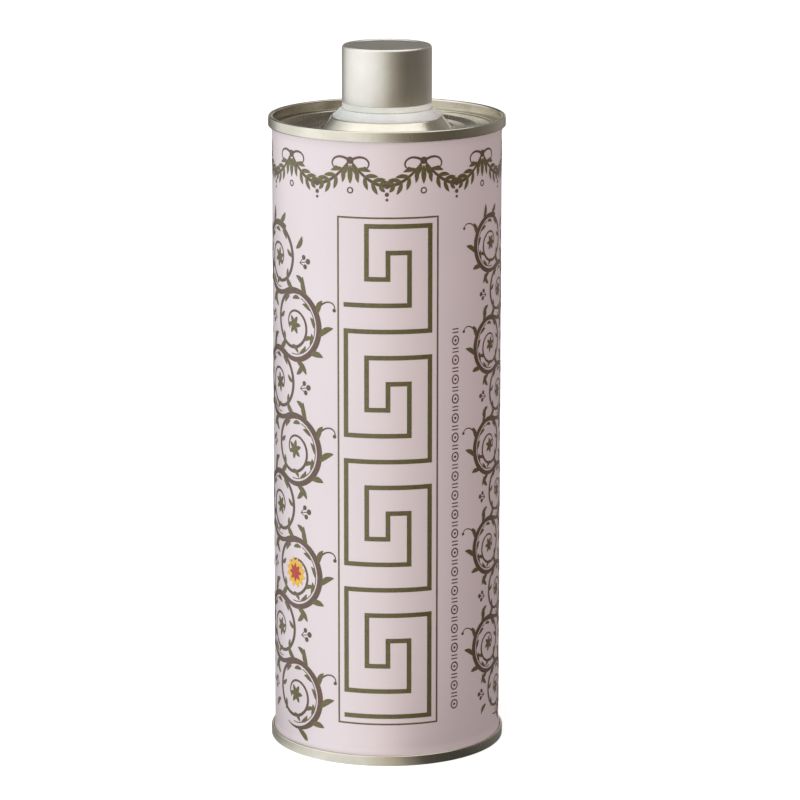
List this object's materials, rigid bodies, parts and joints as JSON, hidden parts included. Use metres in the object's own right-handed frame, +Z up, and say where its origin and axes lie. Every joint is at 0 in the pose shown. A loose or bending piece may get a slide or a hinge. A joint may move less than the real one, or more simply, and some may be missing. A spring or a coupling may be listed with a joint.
{
  "type": "oil tin with pouring spout",
  "caption": "Round double-seamed tinplate oil tin with a printed body, a plastic pouring spout on its raised neck and a screw cap that unscrews from a tamper band.",
  "frame": {"origin": "centre of the base, on the plane that the bottom seam stands on", "axes": "+Z up along the axis of the can, through the neck and the cap; +Y points to the welded side at the back, so the front of the print looks along -Y"},
  "size_m": [0.0676, 0.0676, 0.203],
  "materials": {
    "printed_tinplate": "satin lithographed coating, pale lilac pink",
    "tinplate": "bright tinplate, warm silver",
    "seam_compound": "matt",
    "spout_plastic": "slightly translucent white polyethylene",
    "cap_plastic": "white moulded plastic",
    "cap_aluminium": "satin lacquered aluminium",
    "disc_foam": "foamed polyethylene"
  },
  "bodies": {
    "tin": {"can_body": "printed_tinplate", "top_end": "tinplate", "bottom_end": "tinplate", "top_seam_compound": "seam_compound", "bottom_seam_compound": "seam_compound", "spout_base": "spout_plastic", "pour_insert": "spout_plastic"},
    "disc": {"sealing_disc": "disc_foam"},
    "cap": {"cap_shell": "cap_aluminium", "cap_liner": "cap_plastic"},
    "band": {"tamper_band": "cap_plastic"}
  },
  "joints": [
    {"name": "cap_lift", "type": "slide", "parent": "tin", "child": "disc", "axis": [0, 0, 1], "range_m": [0, 0.0165]},
    {"name": "cap_turn", "type": "hinge", "parent": "disc", "child": "cap", "pos_m": [0, 0, 0.195], "axis": [0, 0, 1], "range_deg": [0, 1890]},
    {"name": "band_spin", "type": "hinge", "parent": "tin", "child": "band", "pos_m": [0, 0, 0.186], "axis": [0, 0, 1], "continuous": true}
  ],
  "couplings": [
    {"joint": "cap_lift", "follows": "cap_turn", "m_per_rad": 0.00047746}
  ]
}
